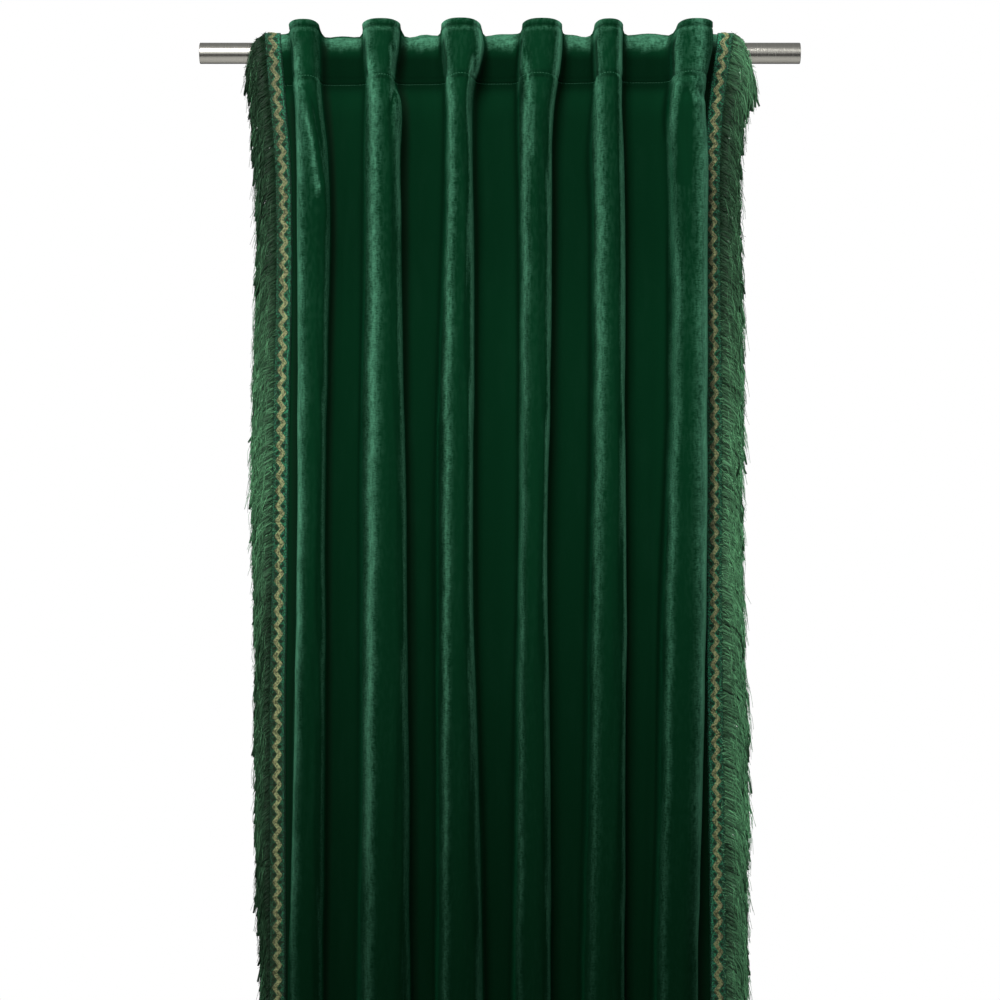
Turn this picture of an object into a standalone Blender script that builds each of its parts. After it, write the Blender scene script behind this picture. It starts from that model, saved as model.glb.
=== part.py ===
"""Velvet curtain panel with fringed side edges, hanging in folds on a straight metal rod.

Units are metres and +Z is up. The origin is the middle of the rod's axis, the rod runs
along X, and the curtain's face looks towards -Y. The tables are in millimetres.
"""

import math

import bmesh
import bpy
from mathutils import Matrix, Vector

MM = 0.001
GAP = 0.3 * MM                      # between pieces that are sewn together

# Rod
ROD_DIAMETER = 25 * MM
ROD_LENGTH = 714 * MM
ROD_SIDES = 40

# Cloth. A drop is a distance along the cloth, down from its top edge.
CLOTH_THICKNESS = 2.0 * MM
HEM_THICKNESS = 2.8 * MM            # turned heading and turned bottom hem
HEADING_DROP = 60 * MM              # the turned heading runs down to this row
HEM_DROP = 2320 * MM                # and the bottom hem starts below this one
CLOTH_LENGTH = 2400 * MM
TOP_ABOVE_ROD = 28 * MM             # top edge of a fold above the rod's axis
LIE_RADIUS = 21 * MM                # middle of the cloth to the rod's axis, where it lies on it
HEADING_WALL = 30 * MM              # how far forward of the rod the heading stands up straight
OVER_ROD_DROPS = (0, 10, 20, 30)    # rows where the cloth bends over the rod
ROW_DROPS = OVER_ROD_DROPS + (
    45, 60, 72, 86, 104, 128, 160, 200, 240, 340, 460, 620, 800, 1000, 1200,
    1450, 1700, 1950, 2180, 2320, 2332, 2400,
)

# Side edges: X of the braid's outer edge at each drop
EDGE_DROPS = (0, 49, 85, 156, 275, 442, 680, 799, 1132, 1750, 2400)
EDGE_LEFT = (-280, -276, -273, -267, -265, -268, -271, -273, -273, -278, -284)
EDGE_RIGHT = (278, 271, 266, 261, 261, 263, 263, 264, 268, 270, 274)

# Folds, from left to right. left and right are the X of a fold's two sides at each of
# FOLD_DROPS, depth is how far it stands out at each of DEPTH_DROPS, tuck_left and
# tuck_right are how much narrower it is at the back on each side, and slant is its share
# of SLANT.
FOLD_DROPS = (0, 30, 66, 100, 156, 240, 442, 680, 918, 1132, 1750, 2400)
DEPTH_DROPS = (0, 156, 680, 1132, 2400)
FOLDS = (
    {"left": (-247, -244, -242, -240, -239, -238, -237, -238, -243, -248, -252, -257),
     "right": (-212, -211, -210, -207, -201, -198, -202, -204, -204, -207, -209, -212),
     "depth": (60, 62, 60, 58, 62), "tuck_left": 2, "tuck_right": 3, "slant": 0.0},
    {"left": (-161, -159, -157, -158, -158, -158, -160, -160, -160, -163, -165, -166),
     "right": (-116, -118, -122, -115, -115, -114, -111, -107, -105, -104, -106, -110),
     "depth": (66, 68, 72, 70, 66), "tuck_left": 2, "tuck_right": 4, "slant": 1.0},
    {"left": (-68, -66, -62, -62, -62, -63, -69, -71, -69, -70, -71, -74),
     "right": (-24, -21, -30, -34, -33, -31, -31, -31, -25, -21, -22, -24),
     "depth": (70, 72, 68, 72, 68), "tuck_left": 1, "tuck_right": -1, "slant": 1.0},
    {"left": (26, 23, 21, 21, 22, 24, 26, 24, 20, 18, 16, 14),
     "right": (72, 72, 68, 63, 61, 61, 59, 56, 60, 60, 60, 63),
     "depth": (68, 66, 70, 68, 70), "tuck_left": 3, "tuck_right": 1, "slant": 0.8},
    {"left": (111, 111, 112, 110, 107, 110, 112, 108, 105, 100, 97, 98),
     "right": (143, 142, 142, 142, 145, 147, 147, 148, 147, 145, 144, 148),
     "depth": (64, 66, 64, 62, 64), "tuck_left": 2, "tuck_right": 0, "slant": 1.0},
    {"left": (208, 201, 201, 197, 200, 203, 203, 193, 190, 184, 185, 192),
     "right": (251, 251, 244, 243, 246, 246, 246, 245, 240, 234, 234, 240),
     "depth": (66, 70, 68, 64, 62), "tuck_left": 2, "tuck_right": 9, "slant": 1.0},
)

# How far a fold's left side leans out, and how far its right root is tucked back
ROOT_DROPS = (0, 80, 200, 460, 1132, 2400)
SLANT = (0, 0, 2, 4, 5, 6)
SHARP = (0, 0, 6, 7, 5, 4)
SHARP_UNDER = 0.3                   # share of it by which the root also goes under the fold

# The top of each fold is a low arch
ARCH_DEPTH = 4.0 * MM
ARCH_DROP = 50 * MM                 # it has died out at this drop
ARCH_WALL = 30 * MM                 # and where the cloth stands less far forward than this
ARCH_REACH = 1.3                    # past a fold's half width

# Valleys between the folds: how far each one's middle stands forward, below the heading
VALLEY_DROPS = (0, 72, 380, 1132, 2400)
VALLEYS = (
    (0, 0, 5, 3, 6),
    (0, 0, -3, 2, -4),
    (0, 0, 4, -2, 3),
    (0, 0, -2, 4, 5),
    (0, 0, 3, 6, 2),
)
ROOT_STEPS = 2                      # mesh steps round a fold's inner corner
FRONT_STEPS = 3                     # and round one of its front corners
VALLEY_STEPS = 2

# Braid, and the zigzag cord on it
BRAID_WIDTH = 19 * MM
BRAID_THICKNESS = 1.4 * MM
# A zigzag's first turn below the top edge, the length between turns, and the first turn's
# side, which is 1 away from the curtain's outer edge
ZIGZAG_TURNS = {"left": (5.8 * MM, 8.9 * MM, 1), "right": (10.6 * MM, 9.18 * MM, -1)}
ZIGZAG_SNAP = 1.2 * MM              # a turn this near to a row over the rod moves onto it
ZIGZAG_SWING = 3.0 * MM             # to each side of the braid's middle line
ZIGZAG_WIDTH = 5.6 * MM
ZIGZAG_HEIGHT = 1.5 * MM

# Fringe
STRIP_WIDTH = 5.0 * MM              # woven strip that holds the roots of the yarn
STRIP_GAP = 0.6 * MM                # from the strip to the cloth's edge
STRIP_THICKNESS = 2.0 * MM
STRIP_PROUD = 0.4 * MM              # past the braid's outer edge
LOCK_DROPS = OVER_ROD_DROPS + (45, 60)  # the short locks at the heading start here
LOCK_PITCH = 26                     # and the others are this far apart
# Rings of a lock: distance out, distance down, half height, half thickness, sway
LOCK_RINGS = (
    (12.0, 5.0, 9.0, 1.1, 2.4),
    (23.0, 18.0, 7.6, 0.9, 3.2),
)
LOCK_TIP = (28.0, 39.0, 2.6)        # out, down, sway
LOCK_CLEAR = 19 * MM                # the locks hang this far in front of the rod's axis
LOCK_SETTLED = 10.0                 # once they are this far down
LOCK_BELOW_HEM = 10 * MM            # and the lowest locks end this far under the hem
LOCK_UNEVEN = (1.0, 0.93, 1.06, 0.97, 1.1, 0.9, 1.03)   # length factors, taken in turn

# Hanging tabs
TAB_THICKNESS = 1.5 * MM
TAB_WIDTH = 28 * MM
EDGE_TAB_WIDTH = 11 * MM
TAB_SLACK = 0.4 * MM                # room for the tab's flat faces round the rod
TAB_SEAM = 10 * MM                  # sewn length at a tab's lower end
TAB_SEAM_DROP = 54 * MM
TAB_ARC_START = 0.9                 # radians round the rod, up from its front
TAB_ARC_LEAVE = 1.2                 # the tab parts from the heading here
TAB_ARC_SEAT = 2.0                  # and lies on the rod from here
TAB_ARC_END = 4.25
TAB_ARC_STEPS = 10

VELVET = (0.010, 0.070, 0.032, 1.0)
BRAID_GREEN = (0.020, 0.130, 0.080, 1.0)
FRINGE_GREEN = (0.035, 0.120, 0.060, 1.0)
GOLD = (0.420, 0.330, 0.150, 1.0)
STEEL = (0.560, 0.550, 0.500, 1.0)


# ---------------------------------------------------------------- helpers

def material(name, colour, roughness, metallic=0.0):
    """A Principled material."""
    made = bpy.data.materials.new(name)
    made.use_nodes = True
    shader = made.node_tree.nodes["Principled BSDF"]
    shader.inputs["Base Color"].default_value = colour
    shader.inputs["Roughness"].default_value = roughness
    shader.inputs["Metallic"].default_value = metallic
    made.diffuse_color = colour
    return made


def finish(name, mesh, surface):
    """Turn a bmesh into a named, smooth-shaded object."""
    bmesh.ops.recalc_face_normals(mesh, faces=mesh.faces)
    data = bpy.data.meshes.new(name)
    mesh.to_mesh(data)
    mesh.free()
    data.shade_smooth()
    data.set_sharp_from_angle(angle=math.radians(40))
    data.materials.append(surface)
    made = bpy.data.objects.new(name, data)
    bpy.context.scene.collection.objects.link(made)
    return made


def smooth(value):
    """Rise from 0 to 1 with level ends."""
    value = min(max(value, 0.0), 1.0)
    return value * value * (3.0 - 2.0 * value)


def follow(drops, values, drop):
    """Smooth curve through a table's values, in metres, at a drop in metres."""
    at = min(max(drop / MM, drops[0]), drops[-1])
    last = len(drops) - 1
    left = next(i for i in range(last) if at <= drops[i + 1])
    right = left + 1

    def slope(i):
        before, after = max(i - 1, 0), min(i + 1, last)
        return (values[after] - values[before]) / (drops[after] - drops[before])

    span = drops[right] - drops[left]
    t = (at - drops[left]) / span
    eased = smooth(t)
    lean = t * (1.0 - t) * span
    value = values[left] * (1.0 - eased) + values[right] * eased
    return MM * (value + lean * ((1.0 - t) * slope(left) - t * slope(right)))


def bend(start, corner, end, steps):
    """Points on a parabola that starts towards a corner and leaves it towards an end."""
    places = [i / steps for i in range(steps)]
    return [start.lerp(corner, t).lerp(corner.lerp(end, t), t) for t in places]


# ---------------------------------------------------------------- shape of the cloth

def edge_columns(drop, outer, inward):
    """Plan points of one side edge: braid edge, cloth edge, middle and inner braid edge."""
    cloth_edge = STRIP_WIDTH + STRIP_GAP - STRIP_PROUD
    middle = (cloth_edge + BRAID_WIDTH) / 2
    offsets = (0.0, cloth_edge, middle, BRAID_WIDTH)
    start = follow(EDGE_DROPS, outer, drop)
    return [Vector((start + inward * offset, 0.0)) for offset in offsets]


def plan(drop):
    """The cloth seen from above at a drop: points of X and distance forward, left to right."""
    left_edge = edge_columns(drop, EDGE_LEFT, 1)
    right_edge = edge_columns(drop, EDGE_RIGHT, -1)
    corners = [(left_edge[-1], 0)]
    for number, fold in enumerate(FOLDS):
        left = follow(FOLD_DROPS, fold["left"], drop)
        right = follow(FOLD_DROPS, fold["right"], drop)
        depth = follow(DEPTH_DROPS, fold["depth"], drop)
        slant = follow(ROOT_DROPS, SLANT, drop) * fold["slant"]
        sharp = follow(ROOT_DROPS, SHARP, drop)
        back_left = left + fold["tuck_left"] * MM - slant
        back_right = right - fold["tuck_right"] * MM - sharp * SHARP_UNDER
        corners.append((Vector((back_left, 0.0)), ROOT_STEPS))
        corners.append((Vector((left, depth)), FRONT_STEPS))
        corners.append((Vector((right, depth)), FRONT_STEPS))
        corners.append((Vector((back_right, -sharp)), ROOT_STEPS))
        if number < len(VALLEYS):
            beyond = follow(FOLD_DROPS, FOLDS[number + 1]["left"], drop)
            forward = follow(VALLEY_DROPS, VALLEYS[number], drop)
            corners.append((Vector(((back_right + beyond) / 2, forward)), VALLEY_STEPS))
    corners.append((right_edge[-1], 0))

    points = list(left_edge[:-1])
    start = corners[0][0]
    for i in range(1, len(corners) - 1):
        corner, steps = corners[i]
        after = corners[i + 1][0]
        last = i == len(corners) - 2
        end = after if last else (corner + after) / 2
        points += bend(start, corner, end, steps)
        start = end
    return points + right_edge[::-1]


def hang(point, drop):
    """Place a plan point on the hanging cloth. Between folds the heading leans over the rod."""
    x, forward = point
    height = TOP_ABOVE_ROD - drop
    upright = Vector((x, -(LIE_RADIUS + forward), height))
    if height <= 0:
        return upright
    angle = height / LIE_RADIUS
    over = Vector((x, -(LIE_RADIUS * math.cos(angle) + forward), LIE_RADIUS * math.sin(angle)))
    placed = over.lerp(upright, smooth(forward / HEADING_WALL))
    placed.z -= arch(x, drop) * smooth(forward / ARCH_WALL)
    return placed


def arch(x, drop):
    """How much lower than the middle of its fold a point near the top edge lies."""
    for fold in FOLDS:
        left = follow(FOLD_DROPS, fold["left"], drop)
        right = follow(FOLD_DROPS, fold["right"], drop)
        across = abs(2 * x - left - right) / (right - left)
        if across < ARCH_REACH:
            return ARCH_DEPTH * across ** 3 * smooth(1.0 - drop / ARCH_DROP)
    return 0.0


class Surface:
    """The cloth's middle surface as a grid of points and face normals pointing forward."""

    def __init__(self, drops):
        self.drops = drops
        self.points = [[hang(point, drop) for point in plan(drop)] for drop in drops]
        rows, columns = len(drops), len(self.points[0])
        self.normals = []
        for r in range(rows):
            above, below = max(r - 1, 0), min(r + 1, rows - 1)
            line = []
            for c in range(columns):
                before, after = max(c - 1, 0), min(c + 1, columns - 1)
                down = self.points[below][c] - self.points[above][c]
                across = self.points[r][after] - self.points[r][before]
                line.append(down.cross(across).normalized())
            for inner, edge in ((3, 2), (-4, -3)):
                line[inner] = line[edge]        # a braid lies flat across its width
            self.normals.append(line)

    def offset(self, row, column, distance):
        """A grid point moved forward along its normal."""
        return self.points[row][column] + self.normals[row][column] * distance

    def at(self, drop, columns, share, distance):
        """A point at a drop, part of the way between two columns, moved forward."""
        row = 0
        while row < len(self.drops) - 2 and drop > self.drops[row + 1]:
            row += 1
        t = (drop - self.drops[row]) / (self.drops[row + 1] - self.drops[row])
        first, second = columns
        upper = self.offset(row, first, distance).lerp(self.offset(row, second, distance), share)
        lower = self.offset(row + 1, first, distance).lerp(
            self.offset(row + 1, second, distance), share)
        return upper.lerp(lower, t)


def cloth_half(drop):
    """Half the cloth's thickness, with its turned heading and hem."""
    turned = drop <= HEADING_DROP or drop > HEM_DROP
    return (HEM_THICKNESS if turned else CLOTH_THICKNESS) / 2


# ---------------------------------------------------------------- pieces

def add_sheet(mesh, layers, first_side_open=False):
    """Close a front and a back grid of points into a body. Returns their vertices."""
    front, back = [[[mesh.verts.new(p) for p in row] for row in layer] for layer in layers]
    rows, columns = len(front), len(front[0])
    for r in range(rows - 1):
        for c in range(columns - 1):
            mesh.faces.new((front[r][c], front[r + 1][c], front[r + 1][c + 1], front[r][c + 1]))
            mesh.faces.new((back[r][c], back[r][c + 1], back[r + 1][c + 1], back[r + 1][c]))
        if not first_side_open:
            mesh.faces.new((front[r][0], back[r][0], back[r + 1][0], front[r + 1][0]))
        mesh.faces.new((front[r][-1], front[r + 1][-1], back[r + 1][-1], back[r][-1]))
    for c in range(columns - 1):
        mesh.faces.new((front[0][c], front[0][c + 1], back[0][c + 1], back[0][c]))
        mesh.faces.new((front[-1][c], back[-1][c], back[-1][c + 1], front[-1][c + 1]))
    return front, back


def make_rod(steel):
    """Plain round rod along X."""
    mesh = bmesh.new()
    turned = Matrix.Rotation(math.radians(90), 4, "Y")
    bmesh.ops.create_cone(mesh, cap_ends=True, segments=ROD_SIDES, depth=ROD_LENGTH,
                          radius1=ROD_DIAMETER / 2, radius2=ROD_DIAMETER / 2, matrix=turned)
    return finish("rod", mesh, steel)


def make_panel(surface, velvet):
    """The velvet, from one side edge to the other."""
    columns = range(1, len(surface.points[0]) - 1)
    mesh = bmesh.new()
    add_sheet(mesh, [[[surface.offset(r, c, side * cloth_half(drop)) for c in columns]
                      for r, drop in enumerate(surface.drops)] for side in (1, -1)])
    return finish("velvet_panel", mesh, velvet)


def make_braid(name, surface, columns, green):
    """Woven braid along a side edge, in front of the cloth and of the fringe's strip."""
    mesh = bmesh.new()
    add_sheet(mesh, [[[surface.offset(r, c, cloth_half(drop) + GAP + rise) for c in columns]
                      for r, drop in enumerate(surface.drops)] for rise in (BRAID_THICKNESS, 0.0)])
    return finish(name, mesh, green)


def zigzag_points(first, pitch, side):
    """Drops of a zigzag's points, each with its share of the swing to one side."""
    rows = [drop * MM for drop in OVER_ROD_DROPS]
    turns = [(0.0, -side)]
    while turns[-1][0] < CLOTH_LENGTH:
        drop = first + pitch * (len(turns) - 1)
        if drop > CLOTH_LENGTH - pitch / 2:
            drop = CLOTH_LENGTH
        drop = next((row for row in rows if abs(row - drop) < ZIGZAG_SNAP), drop)
        turns.append((drop, -turns[-1][1]))
    points = []
    for before, after in zip(turns, turns[1:]):
        points.append(before)
        for row in rows:
            if before[0] < row < after[0]:
                t = (row - before[0]) / (after[0] - before[0])
                points.append((row, before[1] * (1.0 - t) + after[1] * t))
    return points + [turns[-1]]


def make_zigzag(name, surface, columns, turns, gold):
    """Three-sided cord laid in a zigzag down the middle of a braid."""
    half_width = ZIGZAG_WIDTH / 2 / BRAID_WIDTH
    swing = ZIGZAG_SWING / BRAID_WIDTH
    base = HEM_THICKNESS / 2 + BRAID_THICKNESS + 2 * GAP
    corners = ((-half_width, base), (half_width, base), (0.0, base + ZIGZAG_HEIGHT))
    mesh = bmesh.new()
    rings = []
    for drop, side in zigzag_points(*turns):
        middle = 0.5 + swing * side
        rings.append([mesh.verts.new(surface.at(drop, columns, middle + aside, rise))
                      for aside, rise in corners])
    for upper, lower in zip(rings, rings[1:]):
        for a, b in ((0, 1), (1, 2), (2, 0)):
            mesh.faces.new((upper[a], upper[b], lower[b], lower[a]))
    mesh.faces.new(rings[0])
    mesh.faces.new(rings[-1])
    return finish(name, mesh, gold)


def lock_starts():
    """Drops at which the locks of a fringe begin, and the last one's end."""
    drops = list(LOCK_DROPS)
    while drops[-1] < CLOTH_LENGTH / MM:
        drops.append(drops[-1] + LOCK_PITCH)
    return [drop * MM for drop in drops]


def make_fringe(name, surface, columns, outward, green):
    """Narrow strip beside the cloth's edge, with a drooping lock of yarn from each step."""
    width = STRIP_WIDTH + STRIP_GAP - STRIP_PROUD
    shares = (-STRIP_PROUD / width, 1.0 - STRIP_GAP / width)
    drops = lock_starts()
    mesh = bmesh.new()
    front, back = add_sheet(
        mesh,
        [[[surface.at(drop, columns, share, side * STRIP_THICKNESS / 2) for share in shares]
          for drop in drops] for side in (1, -1)],
        first_side_open=True)
    for number in range(len(drops) - 1):
        root = (front[number][0], front[number + 1][0], back[number + 1][0], back[number][0])
        size = (drops[number + 1] - drops[number]) / (LOCK_PITCH * MM)
        add_lock(mesh, root, number, size, outward)
    return finish(name, mesh, green)


def add_lock(mesh, root, number, size, outward):
    """Four-sided lock that leaves its root sideways and droops to a point."""
    length = LOCK_UNEVEN[number % len(LOCK_UNEVEN)]
    side = 1 if number % 2 else -1
    centre = sum((vert.co for vert in root), Vector()) / len(root)
    front = min(centre.y, -LOCK_CLEAR)  # the uppermost locks fall in front of the rod
    room = centre.z - (TOP_ABOVE_ROD - CLOTH_LENGTH) + LOCK_BELOW_HEM
    droop = min(1.0, room / (LOCK_TIP[1] * length * MM))

    def place(out, down, sway):
        forward = (front - centre.y) * min(down / LOCK_SETTLED, 1.0)
        down *= droop
        moved = Vector((outward * out * length, -sway * side, -down * length)) * MM
        return centre + moved + Vector((0.0, forward, 0.0))

    before = root
    for out, down, half_height, half_thickness, sway in LOCK_RINGS:
        middle = place(out, down, sway)
        ring = [mesh.verts.new(middle + Vector((0.0, -half_thickness * forward,
                                                half_height * size * up)) * MM)
                for forward, up in ((1, 1), (1, -1), (-1, -1), (-1, 1))]
        for a in range(4):
            b = (a + 1) % 4
            mesh.faces.new((before[a], before[b], ring[b], ring[a]))
        before = ring
    tip = mesh.verts.new(place(*LOCK_TIP))
    for a in range(4):
        mesh.faces.new((before[a], before[(a + 1) % 4], tip))


def tab_route():
    """Middle line of a tab in Y and Z: under the heading, round the back of the rod, and down."""
    under_heading = LIE_RADIUS - HEM_THICKNESS / 2 - GAP - TAB_THICKNESS / 2 - TAB_SLACK
    on_rod = ROD_DIAMETER / 2 + GAP + TAB_THICKNESS / 2 + TAB_SLACK
    route = []
    for i in range(TAB_ARC_STEPS + 1):
        angle = TAB_ARC_START + i * (TAB_ARC_END - TAB_ARC_START) / TAB_ARC_STEPS
        eased = smooth((angle - TAB_ARC_LEAVE) / (TAB_ARC_SEAT - TAB_ARC_LEAVE))
        radius = under_heading * (1.0 - eased) + on_rod * eased
        route.append(Vector((-radius * math.cos(angle), radius * math.sin(angle))))
    seam_y = -(LIE_RADIUS - HEM_THICKNESS / 2 - GAP - TAB_THICKNESS / 2)
    seam_z = TOP_ABOVE_ROD - TAB_SEAM_DROP
    route.append(Vector((seam_y, seam_z)))
    route.append(Vector((seam_y, seam_z - TAB_SEAM)))
    return route


def make_tab(name, middle, width, velvet):
    """Strap behind the heading, which the rod goes through."""
    route = tab_route()
    layers = []
    for side in (1, -1):
        rows = []
        for i, point in enumerate(route):
            along = (route[min(i + 1, len(route) - 1)] - route[max(i - 1, 0)]).normalized()
            y, z = point + Vector((-along.y, along.x)) * side * TAB_THICKNESS / 2
            rows.append([Vector((middle + across, y, z)) for across in (-width / 2, width / 2)])
        layers.append(rows)
    mesh = bmesh.new()
    add_sheet(mesh, layers)
    return finish(name, mesh, velvet)


def tab_places():
    """Middle and width of each tab: one behind each side edge and each valley."""
    drop = TOP_ABOVE_ROD
    inset = STRIP_WIDTH + STRIP_GAP + EDGE_TAB_WIDTH / 2
    places = [(follow(EDGE_DROPS, EDGE_LEFT, drop) + inset, EDGE_TAB_WIDTH)]
    for before, after in zip(FOLDS, FOLDS[1:]):
        left = follow(FOLD_DROPS, before["right"], drop) - before["tuck_right"] * MM
        right = follow(FOLD_DROPS, after["left"], drop) + after["tuck_left"] * MM
        places.append(((left + right) / 2, TAB_WIDTH))
    places.append((follow(EDGE_DROPS, EDGE_RIGHT, drop) - inset, EDGE_TAB_WIDTH))
    return places


# ---------------------------------------------------------------- build

for old in list(bpy.data.objects):
    bpy.data.objects.remove(old, do_unlink=True)

velvet = material("velvet", VELVET, 0.85)
braid_green = material("braid", BRAID_GREEN, 0.75)
fringe_green = material("fringe_yarn", FRINGE_GREEN, 0.8)
gold = material("gold_cord", GOLD, 0.55)
steel = material("brushed_steel", STEEL, 0.35, metallic=1.0)

cloth = Surface([drop * MM for drop in ROW_DROPS])
last = len(cloth.points[0]) - 1

make_rod(steel)
make_panel(cloth, velvet)
for number, (middle, width) in enumerate(tab_places(), start=1):
    make_tab(f"tab_{number}", middle, width, velvet)
for side, outward, outer, step in (("left", -1, 0, 1), ("right", 1, last, -1)):
    braid_columns = [outer + step * i for i in range(4)]
    make_braid(f"braid_{side}", cloth, sorted(braid_columns), braid_green)
    make_zigzag(f"zigzag_{side}", cloth, (braid_columns[0], braid_columns[-1]),
                ZIGZAG_TURNS[side], gold)
    make_fringe(f"fringe_{side}", cloth, braid_columns[:2], outward, fringe_green)
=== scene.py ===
"""Green velvet curtain panel with braid and fringe down both sides, in folds on a metal rod.

Metres, +Z up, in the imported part's own frame: the rod's axis runs along X through the origin
and the curtain's face looks towards -Y. Tables of sizes are in millimetres, and a drop is a
distance down along the cloth from its top edge.
"""

import math

import bmesh
import bpy
import numpy as np
from mathutils import Matrix, Vector


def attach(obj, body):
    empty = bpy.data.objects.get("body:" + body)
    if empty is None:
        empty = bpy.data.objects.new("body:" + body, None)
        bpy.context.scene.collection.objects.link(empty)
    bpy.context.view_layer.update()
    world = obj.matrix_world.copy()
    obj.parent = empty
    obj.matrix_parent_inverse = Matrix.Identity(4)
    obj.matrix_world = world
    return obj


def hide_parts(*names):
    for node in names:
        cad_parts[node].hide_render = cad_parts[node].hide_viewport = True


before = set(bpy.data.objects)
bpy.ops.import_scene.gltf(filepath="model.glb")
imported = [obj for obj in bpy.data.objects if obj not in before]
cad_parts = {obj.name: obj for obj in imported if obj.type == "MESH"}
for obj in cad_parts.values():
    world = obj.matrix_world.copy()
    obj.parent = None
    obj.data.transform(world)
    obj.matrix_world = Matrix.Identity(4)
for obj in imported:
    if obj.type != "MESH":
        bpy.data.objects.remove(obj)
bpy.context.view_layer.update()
MM = 0.001


# -------------------------------- studio
# A white sweep with a pale floor. A large soft lamp stands at the upper left, one hangs over
# the rod, one stands in front and a weak one at the right, and a white card stands behind the
# camera, which is level and well below the rod.

class Link:
    """An output in a node tree. Sums and products of it add Math nodes, node() adds any other."""

    def __init__(self, tree, socket=None):
        self.tree, self.socket = tree, socket

    def node(self, kind, settings=(), inputs=(), output=0):
        made = self.tree.nodes.new(kind)
        for name, value in dict(settings).items():
            setattr(made, name, value)
        for name, value in dict(inputs).items():
            if isinstance(value, Link):
                self.tree.links.new(value.socket, made.inputs[name])
            else:
                made.inputs[name].default_value = value
        return Link(self.tree, made.outputs[output])

    def maths(self, operation, *values):
        inputs = {place: value for place, value in enumerate(values)}
        return self.node("ShaderNodeMath", {"operation": operation}, inputs)

    def __add__(self, other):
        return self.maths("ADD", self, other)

    def __mul__(self, other):
        return self.maths("MULTIPLY", self, other)

    def __sub__(self, other):
        return self.maths("SUBTRACT", self, other)

    def __rsub__(self, other):
        return self.maths("SUBTRACT", other, self)

    __radd__ = __add__
    __rmul__ = __mul__

    def mix(self, factor, first, second):
        """Colour between two, by a factor."""
        return self.node("ShaderNodeMix", {"data_type": "RGBA"},
                         {0: factor, 6: first, 7: second}, 2)

    def ramp(self, value, low, high):
        """0 below low, 1 above high, and a soft rise between."""
        return self.node("ShaderNodeMapRange", {"interpolation_type": "SMOOTHSTEP"},
                         {0: value, 1: low, 2: high})

    def part(self, axis):
        """One axis of a place."""
        return self.node("ShaderNodeSeparateXYZ", inputs={0: self}, output=axis)

    def stored(self, name, output="Fac"):
        """What a mesh keeps for each of its points under a name."""
        return self.node("ShaderNodeAttribute", {"attribute_name": name}, output=output)


def placed(name, data):
    """An object in the scene."""
    made = bpy.data.objects.new(name, data)
    scene.collection.objects.link(made)
    return made


CAMERA_PLACE = (0.0, -3.6, -0.5316)
CAMERA_LENS = 108.9
FLOOR_LEVEL = -2.42
SKY_LIGHT, CARD_LIGHT = 0.26, 0.75

scene = bpy.context.scene
scene.view_settings.view_transform = "Standard"
camera = placed("camera", bpy.data.cameras.new("camera"))
camera.data.lens = CAMERA_LENS
camera.location = CAMERA_PLACE
camera.rotation_euler = (math.radians(90), 0, 0)
scene.camera = camera

# Name, place, what it is aimed at, width, height, watts
LAMPS = (
    ("key", (-1.5, -1.7, 1.0), (0.0, 0.0, 0.25), 0.9, 1.0, 34),
    ("over_rod", (0.0, -1.6, 0.95), (0.0, -0.02, 0.0), 1.1, 0.30, 21),
    ("right", (1.6, -1.5, 0.7), (0.0, 0.0, 0.25), 0.9, 1.0, 6),
    ("front", (-0.3, -2.4, 1.25), (0.0, 0.0, 0.35), 0.7, 0.8, 77),
)
for name, place, aim, width, height, watts in LAMPS:
    lamp_data = bpy.data.lights.new(name, "AREA")
    lamp_data.shape = "RECTANGLE"
    lamp_data.size, lamp_data.size_y = width, height
    lamp_data.energy = watts
    lamp = placed(name, lamp_data)
    lamp.location = place
    lamp.rotation_euler = (Vector(aim) - Vector(place)).to_track_quat("-Z", "Y").to_euler()

world = bpy.data.worlds.new("studio")
scene.world = world
world.use_nodes = True
world.node_tree.nodes.clear()
sky = Link(world.node_tree)
direction = sky.node("ShaderNodeTexCoord", output="Generated")
upward, sideways, ahead = direction.part("Z"), direction.part("X"), direction.part("Y") * -1
shade = sky.ramp(upward, -0.35, 0.55) * 0.75 + 0.14 + (1 - sky.ramp(upward, -1.0, -0.35)) * 0.3
card = sky.ramp(ahead, 0.84, 0.93) * sky.ramp(upward, -0.24, -0.08) \
    * (1 - sky.ramp(upward, 0.14, 0.30)) * (1 - sky.ramp(sideways, -0.05, 0.07) * 0.65)
seen = sky.node("ShaderNodeBackground", inputs={"Color": (1, 1, 1, 1), "Strength": 1.0})
lit = sky.node("ShaderNodeBackground", inputs={
    "Color": (0.96, 0.98, 1.0, 1), "Strength": shade * SKY_LIGHT + card * CARD_LIGHT})
by_camera = sky.node("ShaderNodeLightPath", output="Is Camera Ray")
backdrop = sky.node("ShaderNodeMixShader", inputs={0: by_camera, 1: lit, 2: seen})
world_out = world.node_tree.nodes.new("ShaderNodeOutputWorld")
world.node_tree.links.new(backdrop.socket, world_out.inputs["Surface"])


def surface(name, **plain):
    """A Principled material with plain numbers on its sockets, and the start of its nodes."""
    made = bpy.data.materials.new(name)
    made.use_nodes = True
    shader = made.node_tree.nodes["Principled BSDF"]
    for socket, value in plain.items():
        shader.inputs[socket.replace("_", " ")].default_value = value
    return made, Link(made.node_tree)


def feed(start, **links):
    """Join what varies over a surface to its shader's sockets."""
    shader = start.tree.nodes["Principled BSDF"]
    for socket, link in links.items():
        link.tree.links.new(link.socket, shader.inputs[socket.replace("_", " ")])


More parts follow.
